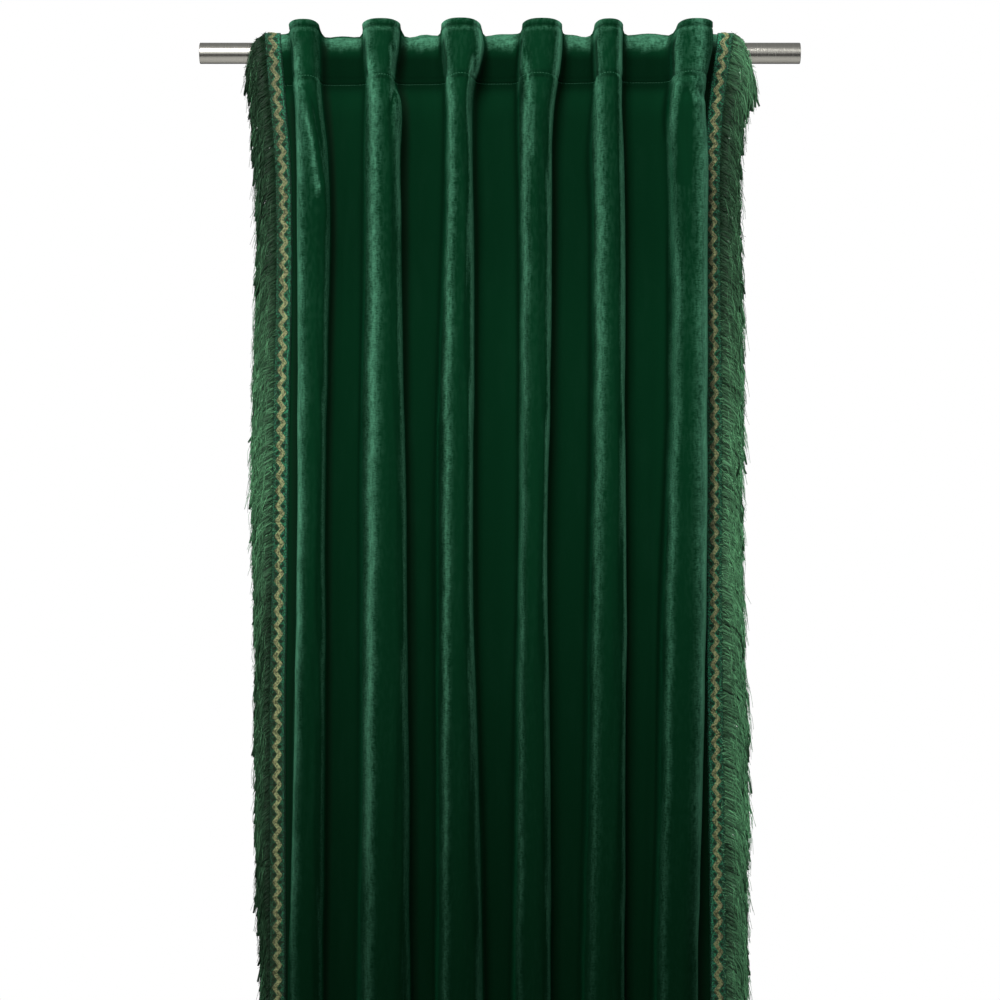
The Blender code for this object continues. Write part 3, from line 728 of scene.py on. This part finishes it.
def yarns(name, paths, radius, sides, material, fronts=(0.0, -1.0, 0.0), taper=None, shades=None,
          shade_name="shade"):
    """Lay a tube of yarn along each of many paths, an array of (yarn, point, XYZ), as one mesh."""
    count, points = paths.shape[:2]
    shape = bmesh.new()
    bmesh.ops.create_cone(shape, cap_ends=True, segments=sides, radius1=1.0, radius2=1.0,
                          depth=1.0, matrix=Matrix.Translation((0, 0, 0.5)))
    along = [edge for edge in shape.edges if abs(edge.verts[0].co.z - edge.verts[1].co.z) > 0.5]
    if points > 2:
        bmesh.ops.subdivide_edges(shape, edges=along, cuts=points - 2)
    shape.verts.index_update()
    template = np.array([vert.co for vert in shape.verts])
    faces = [[vert.index for vert in face.verts] for face in shape.faces]
    shape.free()
    ring = np.rint(template[:, 2] * (points - 1)).astype(int)

    tangents = unit(np.gradient(paths, axis=1))
    aside = unit(np.cross(tangents, np.broadcast_to(fronts, paths.shape)))
    outward = np.cross(aside, tangents)
    size = np.broadcast_to(radius, (count, points)) * (np.ones(points) if taper is None else taper)
    reach = aside[:, ring] * template[None, :, :1] + outward[:, ring] * template[None, :, 1:2]
    placed = paths[:, ring] + reach * size[:, ring, None]

    mesh = bpy.data.meshes.new(name)
    every = [[index + copy * len(template) for index in face] for copy in range(count)
             for face in faces]
    mesh.from_pydata(placed.reshape(-1, 3), [], every)
    mesh.update()
    made = linked(name, mesh, material)
    if shades is not None:
        store(made, shade_name, shades[:, ring])
    return made


thread, start = surface("green_thread", Roughness=0.55, Sheen_Weight=0.3,
                                       Sheen_Tint=(0.3, 1.0, 0.6, 1))
strand = grain(start, (900, 900, 900), 1)
feed(start,
     Base_Color=start.mix(strand, (0.008, 0.070, 0.032, 1), (0.020, 0.120, 0.060, 1)),
     Normal=raised(start, strand, 0.0001))


def across_cloth(drops, lift):
    """Points across the cloth's face, at a drop for each column, with their normals."""
    row = np.searchsorted(row_drops, drops) - 1
    column = np.arange(columns)
    t = ((drops - row_drops[row]) / (row_drops[row + 1] - row_drops[row]))[:, None]
    line = cloth[row, column] * (1 - t) + cloth[row + 1, column] * t
    front = normals[row, column] * (1 - t) + normals[row + 1, column] * t
    return line + front * lift, front


def stitch_row(name, drops, lift):
    """Thread stitches laid end to end across the cloth's face."""
    line, front = across_cloth(drops, lift)
    steps = np.r_[0, np.cumsum(np.linalg.norm(np.diff(line, axis=0), axis=1))]
    starts = np.arange(STITCH_PITCH, steps[-1] - STITCH_PITCH, STITCH_PITCH)
    places = starts[:, None] + np.linspace(0, STITCH_LENGTH, 5)[None]
    sunk = np.array((-0.30, 0.0, 0.06, 0.0, -0.30)) * MM

    def at(values):
        return np.stack([np.interp(places, steps, values[:, i]) for i in range(3)], axis=2)

    fronts = unit(at(front))
    paths = at(line) + fronts * sunk[None, :, None]
    made = yarns(name, paths, THREAD_RADIUS, 4, thread, fronts=fronts,
                 taper=np.array((0.6, 1.0, 1.0, 1.0, 0.6)))
    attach(made, "root")
    return made


seam_row = np.searchsorted(row_drops, SEAM_DROP)
stitches = [stitch_row("heading_stitches", seam[seam_row], 0.95 * MM),
            stitch_row("hem_stitches", np.full(columns, HEM_STITCH_DROP), 1.15 * MM)]


# -------------------------------- hanging tabs
# Straps of the same velvet, sewn behind the heading between the folds. Each goes from under
# the top edge round the back of the rod, and down to a stitched end behind the cloth.

TAB_THICKNESS = 1.5 * MM
TAB_WIDTH = 28 * MM
EDGE_TAB_WIDTH = 11 * MM
TAB_SLACK = 0.4 * MM
TAB_SINK = 3.4 * MM
TAB_SEAM = 10 * MM
TAB_SEAM_DROP = 54 * MM
GAP = 0.3 * MM
EDGE_TAB_INSET = STRIP_WIDTH + STRIP_GAP + EDGE_TAB_WIDTH / 2


def tab_route(steps):
    """Middle line of a tab in Y and Z: under the heading, round the back of the rod, and down."""
    behind_heading = LIE_RADIUS - TURNED_THICKNESS / 2 - GAP - TAB_THICKNESS / 2
    on_rod = ROD_RADIUS + GAP + TAB_THICKNESS / 2 + TAB_SLACK
    angle = np.linspace(0.9, 4.25, steps)
    eased = smooth((angle - 1.2) / 0.8)
    radius = (behind_heading - TAB_SINK) * (1.0 - eased) + on_rod * eased
    seam_y, seam_z = -behind_heading, TOP_ABOVE_ROD - TAB_SEAM_DROP
    arc = np.stack([-radius * np.cos(angle), radius * np.sin(angle)], axis=1)
    down = np.linspace(0.0, 1.0, 7)[1:, None]
    slant = arc[-1] * (1 - down) + np.array((seam_y, seam_z)) * down
    sewn = np.array([(seam_y, seam_z - TAB_SEAM * share) for share in (0.25, 0.5, 0.75, 1.0)])
    return np.concatenate([arc, slant, sewn])


def at_rod(drops, values):
    """X from a table, level with the rod."""
    return follow(drops, values, TOP_ABOVE_ROD)


tab_line = tab_route(33)
tab_places = [(at_rod(EDGE_DROPS, EDGES["left"]) + EDGE_TAB_INSET, EDGE_TAB_WIDTH)]
for before, after in zip(FOLDS, FOLDS[1:]):
    left = at_rod(FOLD_DROPS, before["right"]) - before["tuck_right"] * MM
    right = at_rod(FOLD_DROPS, after["left"]) + after["tuck_left"] * MM
    tab_places.append(((left + right) / 2, TAB_WIDTH))
tab_places.append((at_rod(EDGE_DROPS, EDGES["right"]) - EDGE_TAB_INSET, EDGE_TAB_WIDTH))
for number, (middle, width) in enumerate(tab_places, start=1):
    grid = np.zeros((len(tab_line), 7, 3))
    grid[:, :, 0] = middle + np.linspace(-0.5, 0.5, 7) * width
    grid[:, :, 1:] = tab_line[:, None]
    made = woven(f"tab_strap_{number}", grid, TAB_THICKNESS, pile, angle=60)
    edge = made.modifiers.new("soft edge", "BEVEL")
    edge.width, edge.segments, edge.limit_method = 0.5 * MM, 2, "ANGLE"
    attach(made, "root")
    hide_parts(f"tab_{number}")


# -------------------------------- braid
# Woven tape, 19 mm wide, down both side edges, in teal-green yarn with a row of small loops
# along each edge. It is sewn over the cloth's edge and the strip that holds the fringe.

BRAID_THICKNESS = 1.4 * MM
BRAID_INSET = 0.9 * MM              # of the tape's edge, under the loops
ZIGZAG_SWING = 3.0 * MM
# How bright the painted light on each braid is at each drop
LIGHT_DROPS = (0, 80, 250, 400, 560, 720, 880, 1110, 2400)
LIGHT = {"left": (0.36, 0.33, 0.33, 0.42, 0.42, 0.30, 0.24, 0.22, 0.25),
         "right": (0.48, 0.48, 0.46, 0.50, 0.55, 0.58, 0.52, 0.45, 0.42)}
OUTER_SHADE = 7.5                   # from a braid's outer edge to where the fringe shades it
HOLE_PLACE = 3.4                    # from the braid's middle to the dark inner corners
LOOP_PITCH = 3.2 * MM
LOOP_RADIUS = 1.45 * MM
LOOP_YARN = 0.42 * MM
# A zigzag's first turn below the top edge, the length between turns, and the first turn's side
ZIGZAG_TURNS = {"left": (5.8 * MM, 8.9 * MM, 1), "right": (10.6 * MM, 9.18 * MM, -1)}


def braid_light(side, drops, offset):
    """Painted light and shade on a braid at drops and at offsets in from its outer edge, with the
    fringe's painted shade and the painted shadow of the last fold, which leans over the right one."""
    level = follow(LIGHT_DROPS, LIGHT[side], drops) / MM
    level = level * (1 - 0.5 * smooth((OUTER_SHADE - offset / MM) / 3.5))
    # Painted shadow of the last fold on the right braid, fading out lower down
    if side == "right":
        under = smooth((offset / MM - 8) / 4) * smooth((drops / MM - 130) / 60)
        level = level * (1 - 0.62 * under * (1 - 0.8 * smooth((drops / MM - 560) / 220)))
    return level


def side_line(side, drops, offset, lift):
    """Points beside a cloth edge, in from the braid's outer edge, with their normals."""
    drops, offset = np.broadcast_arrays(drops, offset)
    height = TOP_ABOVE_ROD - drops
    angle = np.maximum(height, 0.0) / LIE_RADIUS
    front = np.stack([np.zeros_like(angle), -np.cos(angle), np.sin(angle)], axis=-1)
    x = follow(EDGE_DROPS, EDGES[side], drops) + INWARD[side] * offset
    flat = np.stack([x, 0 * angle, np.minimum(height, 0.0)], axis=-1)
    return flat + front * (LIE_RADIUS + np.asarray(lift))[..., None], front


def zigzag_turns(side, steps):
    """Drops at which a zigzag turns, the side of each turn, and drops in steps between them."""
    first, pitch, towards = ZIGZAG_TURNS[side]
    turns = np.r_[0.0, np.arange(first, CLOTH_LENGTH - pitch / 2, pitch), CLOTH_LENGTH]
    drops = [np.linspace(a, b, steps, endpoint=False) for a, b in zip(turns, turns[1:])]
    return turns, -towards * (-1.0) ** np.arange(len(turns)), np.r_[(*drops, CLOTH_LENGTH)]


tape, start = surface("braid_green", Roughness=0.75, Specular_IOR_Level=0.12,
                                   Sheen_Weight=0.08, Sheen_Tint=(0.2, 1.0, 0.7, 1))
weave_place = start.stored("weave", output="Vector")
widthways = weave_place.part("X")
rib = start.maths("SINE", weave_place.part("Y") * (2 * math.pi / 2.8) + widthways * 2.2) * 0.5 + 0.5
wale = start.maths("SINE", widthways * (2 * math.pi / 2.1)) * 0.5 + 0.5
speckle = start.ramp(grain(start, (0.60, 0.62, 0.2), 2, place=weave_place), 0.45, 0.60)
blue_speck = start.ramp(grain(start, (0.5, 0.6, 0.3), 2, place=weave_place), 0.52, 0.66)
hole = 1 - start.ramp(weave_place.part("Z"), 1.3, 3.2)
knit = rib * 0.12 + speckle * 0.82 + wale * 0.06
cloth_tone = start.mix(knit, (0.0015, 0.0120, 0.0060, 1), (0.055, 0.520, 0.250, 1))
cloth_tone = start.mix(blue_speck * 0.5, cloth_tone, (0.060, 0.170, 0.200, 1))
cloth_tone = start.mix(hole * 0.9, cloth_tone, (0.0020, 0.0150, 0.0065, 1))
# The tape's colour goes towards a dark shadow colour by its painted light and shade
feed(start,
     Base_Color=start.mix(start.stored("lit"), (0.009, 0.009, 0.002, 1), cloth_tone),
     Normal=raised(start, knit, 0.0007))

braids, loops = [], []
for side in EDGES:
    turn_drops, turn_sides, drops = zigzag_turns(side, 3)
    widths = np.linspace(BRAID_INSET, BRAID_WIDTH - BRAID_INSET, 11)
    drops, widths = np.meshgrid(drops, widths, indexing="ij")
    base = TURNED_THICKNESS / 2 + GAP + BRAID_THICKNESS / 2
    off_middle = (widths - BRAID_WIDTH / 2) / MM
    nearest = np.abs(turn_drops - drops[:, :, None]).argmin(axis=2)
    from_hole = np.hypot(off_middle + turn_sides[nearest] * HOLE_PLACE,
                         (drops - turn_drops[nearest]) / MM * 0.9)
    cover, _ = side_line(side, drops, widths, base)
    made = woven(f"braid_tape_{side}", cover, BRAID_THICKNESS, tape, angle=50)
    store(made, "weave", np.stack([off_middle, drops / MM, from_hole], axis=2), "FLOAT_VECTOR")
    store(made, "lit", braid_light(side, drops, widths))
    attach(made, "root")
    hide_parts(f"braid_{side}")
    braids.append(made)

    turn = np.linspace(-0.15, math.pi + 0.15, 4)
    middles = np.arange(1.5 * MM, CLOTH_LENGTH - 1.5 * MM, LOOP_PITCH)
    drops = np.tile(middles, 2)[:, None] - np.cos(turn) * LOOP_RADIUS
    edges = np.repeat((BRAID_INSET, BRAID_WIDTH - BRAID_INSET), len(middles))[:, None]
    outward = np.repeat((-1, 1), len(middles))[:, None]
    offsets = edges + outward * np.sin(turn) * LOOP_RADIUS
    paths, fronts = side_line(side, drops, offsets, base + 0.25 * MM)
    # The loops take the braid's painted light and shade, at 0.4 of it
    made = yarns(f"braid_loops_{side}", paths, LOOP_YARN, 3, tape, fronts=fronts,
                 shades=braid_light(side, drops, offsets) * 0.4, shade_name="lit")
    places = np.array([vert.co for vert in made.data.vertices]) / MM
    no_hole = np.full(len(places), 9.0)
    store(made, "weave", np.stack([places[:, 0], places[:, 2], no_hole], axis=1), "FLOAT_VECTOR")
    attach(made, "root")
    loops.append(made)


# -------------------------------- gold zigzag
# Five gold yarns side by side, couched down the middle of each braid in an even zigzag with
# rounded turns.

GOLD_YARNS = 5
GOLD_SPREAD = 1.18 * MM
GOLD_RADIUS = 0.50 * MM
GOLD_STEPS = 4                      # points in each half of a zigzag
# Painted shade darkens the gold towards the top of each braid
GOLD_SHADED = {"left": 0.42, "right": 0.08}     # how much darker each one is at its top

gold, start = surface("gold_yarn", Roughness=0.5, Metallic=0.15,
                                   Specular_IOR_Level=0.4)
fleck = grain(start, (620, 620, 620), 2)
hue = grain(start, (160, 160, 160), 2)
twist = grain(start, (1500, 1500, 900), 1)
old_gold = start.mix(start.ramp(fleck, 0.32, 0.66), (0.045, 0.050, 0.018, 1), (0.38, 0.42, 0.20, 1))
old_gold = start.mix(start.ramp(hue, 0.5, 0.75) * 0.3, old_gold, (0.34, 0.23, 0.12, 1))
feed(start,
     Base_Color=start.mix(start.stored("shade"), (0.010, 0.007, 0.002, 1), old_gold),
     Normal=raised(start, twist, 0.0005))

for side in EDGES:
    turn_drops, turn_sides, drops = zigzag_turns(side, GOLD_STEPS)
    swing = np.interp(drops, turn_drops, turn_sides)
    swing = np.sin(swing * math.pi / 2) * 0.35 + swing * 0.65
    base = TURNED_THICKNESS / 2 + GAP + BRAID_THICKNESS + GOLD_RADIUS * 0.8
    # Painted shade: the gold is darker at the top and low down
    gold_light = 1 - GOLD_SHADED[side] * (1 - smooth((drops / MM - 40) / 420)) \
        - 0.2 * smooth((drops / MM - 850) / 250)
    number = np.arange(GOLD_YARNS)[:, None]
    aside = (number - (GOLD_YARNS - 1) / 2) * GOLD_SPREAD
    offsets = BRAID_WIDTH / 2 + swing * ZIGZAG_SWING + aside
    lifts = base + 0.16 * MM * np.sin(drops / MM * 2.1 + number * 1.9)
    paths, fronts = side_line(side, drops, offsets, lifts)
    # The gold also takes the braid's painted shadow where it crosses it
    unshaded = braid_light(side, drops, OUTER_SHADE * MM)
    made = yarns(f"gold_zigzag_{side}", paths, GOLD_RADIUS, 4, gold, fronts=fronts,
                 shades=gold_light * braid_light(side, drops, offsets) / unshaded)
    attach(made, "root")
    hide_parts(f"zigzag_{side}")


# -------------------------------- fringe
# Shiny viscose yarn, cut to a loose fringe about 45 mm long. Its roots are woven into a narrow
# strip beside the cloth's edge, from which the yarn springs out sideways and droops.

STRIP_THICKNESS = 2.0 * MM
# Strands, points in each, their radius, how pale they are, how far back their tips lie, and
# how far the shortest and the longest of them reach: the yarn itself, thicker yarn behind it,
# made dark as painted shade deep in the fringe, and its short curled ends
LAYERS = (("yarn", 5200, 5, 0.38 * MM, 1.0, 0.0, 0.65, 1.0),
          ("under", 1300, 5, 2.6 * MM, 0.26, 4.6, 0.2, 0.9),
          ("ends", 12000, 2, 0.34 * MM, 1.15, -1.0, 0.1, 1.0))
END_LENGTH = 5.0                    # of the short ends, in millimetres
DROOP = 3.2                         # how soon a strand turns down
# How far the fringe reaches beside the braid, down each side
REACH_DROPS = (0, 15, 33, 51, 69, 86, 122, 157, 276, 441, 560, 678, 796, 914, 1033, 1127, 1700,
               2400)
REACH = {"left": (6, 12, 19, 25, 28, 25, 24, 25, 27, 29, 30, 24, 20, 19, 17, 12, 21, 24),
         "right": (6, 12, 18, 29, 37, 33, 26, 26, 29, 30, 29, 30, 33, 34, 30, 29, 26, 28)}
# How bright the painted light on its yarn is down each side
SHADE_DROPS = (0, 50, 95, 210, 330, 445, 565, 685, 800, 915, 1030, 1130, 2400)
SHADES = {"left": (0.15, 0.14, 0.17, 0.32, 0.60, 1.00, 1.15, 0.60, 0.50, 0.48, 0.26, 0.30, 0.4),
          "right": (1.00, 1.05, 0.55, 0.50, 0.78, 1.15, 1.50, 1.55, 1.10, 1.50, 1.05, 1.05, 0.7)}

yarn, start = surface("fringe_yarn", Roughness=0.55, Specular_IOR_Level=0.10)
# The yarn's own random tone together with its painted light and shade
tone_and_light = start.stored("shade")
fibre = grain(start, (1400, 1400, 300), 1)
feed(start,
     Base_Color=start.mix(tone_and_light * (fibre * 0.5 + 0.75), (0.0020, 0.0110, 0.0036, 1),
                          (0.180, 0.480, 0.240, 1)),
     Roughness=fibre * 0.2 + 0.4,
     Normal=raised(start, fibre, 0.0003))

fringes, strips = [], []
for side in EDGES:
    for layer, count, points, radius, brightness, back, shortest, longest in LAYERS:
        draw = np.random.default_rng(count + (31 if side == "left" else 57))
        roots = np.linspace(0.5, CLOTH_LENGTH / MM - 0.5, count) + draw.normal(0, 0.5, count)
        roots = np.clip(roots, 0.3, CLOTH_LENGTH / MM - 0.4)
        lock = (roots + 5 * np.sin(roots * 0.11)) / 8.5
        sway = np.sin(np.floor(lock) * 12.9898) * 43758.5453
        sway = (sway - np.floor(sway)) * 2 - 1                  # one number for each lock
        reach = follow(REACH_DROPS, REACH[side], (roots + 26) * MM) / MM
        share = 1 - shortest * draw.random(count) ** 1.4
        reach = reach * (0.94 + 0.06 * sway + draw.normal(0, 0.03, count)) * longest * share
        length = reach * 0.45 + 30 + 3 * sway + draw.normal(0, 4, count)
        length = np.clip(length, 16, 54)
        room = CLOTH_LENGTH / MM + 8 - roots
        length = np.where(length > room, room * (0.8 + 0.2 * draw.random(count)), length)
        local = np.linspace(0, 1, points)[None]     # along what is drawn of each strand
        t = local                                   # along the whole strand
        over_braid = np.zeros(count)
        if layer == "ends":
            reached = draw.uniform(-0.17, 0.93, count)
            begins = 1 - (1 - reached) ** (1 / DROOP)
            speed = np.hypot(DROOP * reach * (1 - begins) ** (DROOP - 1), length)
            t = begins[:, None] + (END_LENGTH / speed)[:, None] * local
            over_braid = 2.4 * (reached < 0.05)
        curl = draw.normal(0, 1.9, (count, 1)) * local ** 3
        out = reach[:, None] * (1 - (1 - np.minimum(t, 1)) ** DROOP) + curl
        spring = np.clip(0.70 + 0.16 * draw.normal(0, 1, count), 0.3, 1.1)[:, None]
        fall = length[:, None] * (spring * t + (1 - spring) * t ** 2)
        if layer == "ends":
            fall += draw.normal(0, 2.4, (count, 1)) * local
        wobble = np.sin(t * 8 + draw.uniform(0, 6.28, (count, 1))) * t \
            * np.abs(draw.normal(0, 1.1, (count, 1)))
        depth = draw.uniform(-1.5, 1.0, (count, 1)) + draw.normal(0, 2.2, (count, 1)) * t \
            + 1.2 * sway[:, None] * t - 1.5 * t
        start_line, _ = side_line(side, roots * MM, 0.6 * MM,
                                  (draw.uniform(-0.6, 1.6, count) + over_braid) * MM)
        paths = np.repeat(start_line[:, None], points, axis=1)
        paths[:, :, 0] -= INWARD[side] * (out + wobble) * MM
        paths[:, :, 2] -= fall * MM
        # The uppermost strands come down in front of the rod
        front_of_rod = np.minimum(paths[:, :, 1], -LIE_RADIUS + 1.5 * MM)
        settled = smooth(fall / 9)
        paths[:, :, 1] = paths[:, :, 1] * (1 - settled) + front_of_rod * settled
        paths[:, :, 1] += (np.minimum(depth, 1.5) * smooth(t * 3) + back * t) * MM
        # Painted light down each side, from its table
        fringe_light = follow(SHADE_DROPS, SHADES[side], (roots + 12) * MM)[:, None] / MM
        evenness = (2.6 if layer == "yarn" else 1.0) + 1.6 * fringe_light[:, 0]
        shades = draw.gamma(evenness, 0.54 / evenness) + 0.05 * sway
        shades = np.clip(shades, 0, 1.5)[:, None] * brightness * fringe_light
        # Painted shade at the roots, beside the braid
        root_shade = np.clip(0.7 * fringe_light - 0.1, 0.25, 0.8)
        shades = shades * (root_shade + (1.08 - root_shade) * smooth((t - 0.1) / 0.5))
        if layer == "yarn":
            bold = draw.random((count, 1)) < 0.05
            shades = np.where(bold, (0.45 + 0.35 * fringe_light) * smooth((t - 0.15) / 0.4), shades)
        made = yarns(f"fringe_{layer}_{side}", paths, radius, 3, yarn,
                     taper=np.linspace(1.0, 0.5, points), shades=shades)
        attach(made, "root")
        if layer == "yarn":
            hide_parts(f"fringe_{side}")
        fringes.append(made)

    # The strip carries no light values, so the braid's material draws it in its dark shadow colour
    drops = np.r_[0:40:2.5, 40:2400:12.0, 2400.0][:, None] * MM
    strip, _ = side_line(side, drops, (-STRIP_PROUD, STRIP_WIDTH - STRIP_PROUD), 0.0)
    made = woven(f"fringe_strip_{side}", strip, STRIP_THICKNESS, tape, angle=50)
    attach(made, "root")
    strips.append(made)
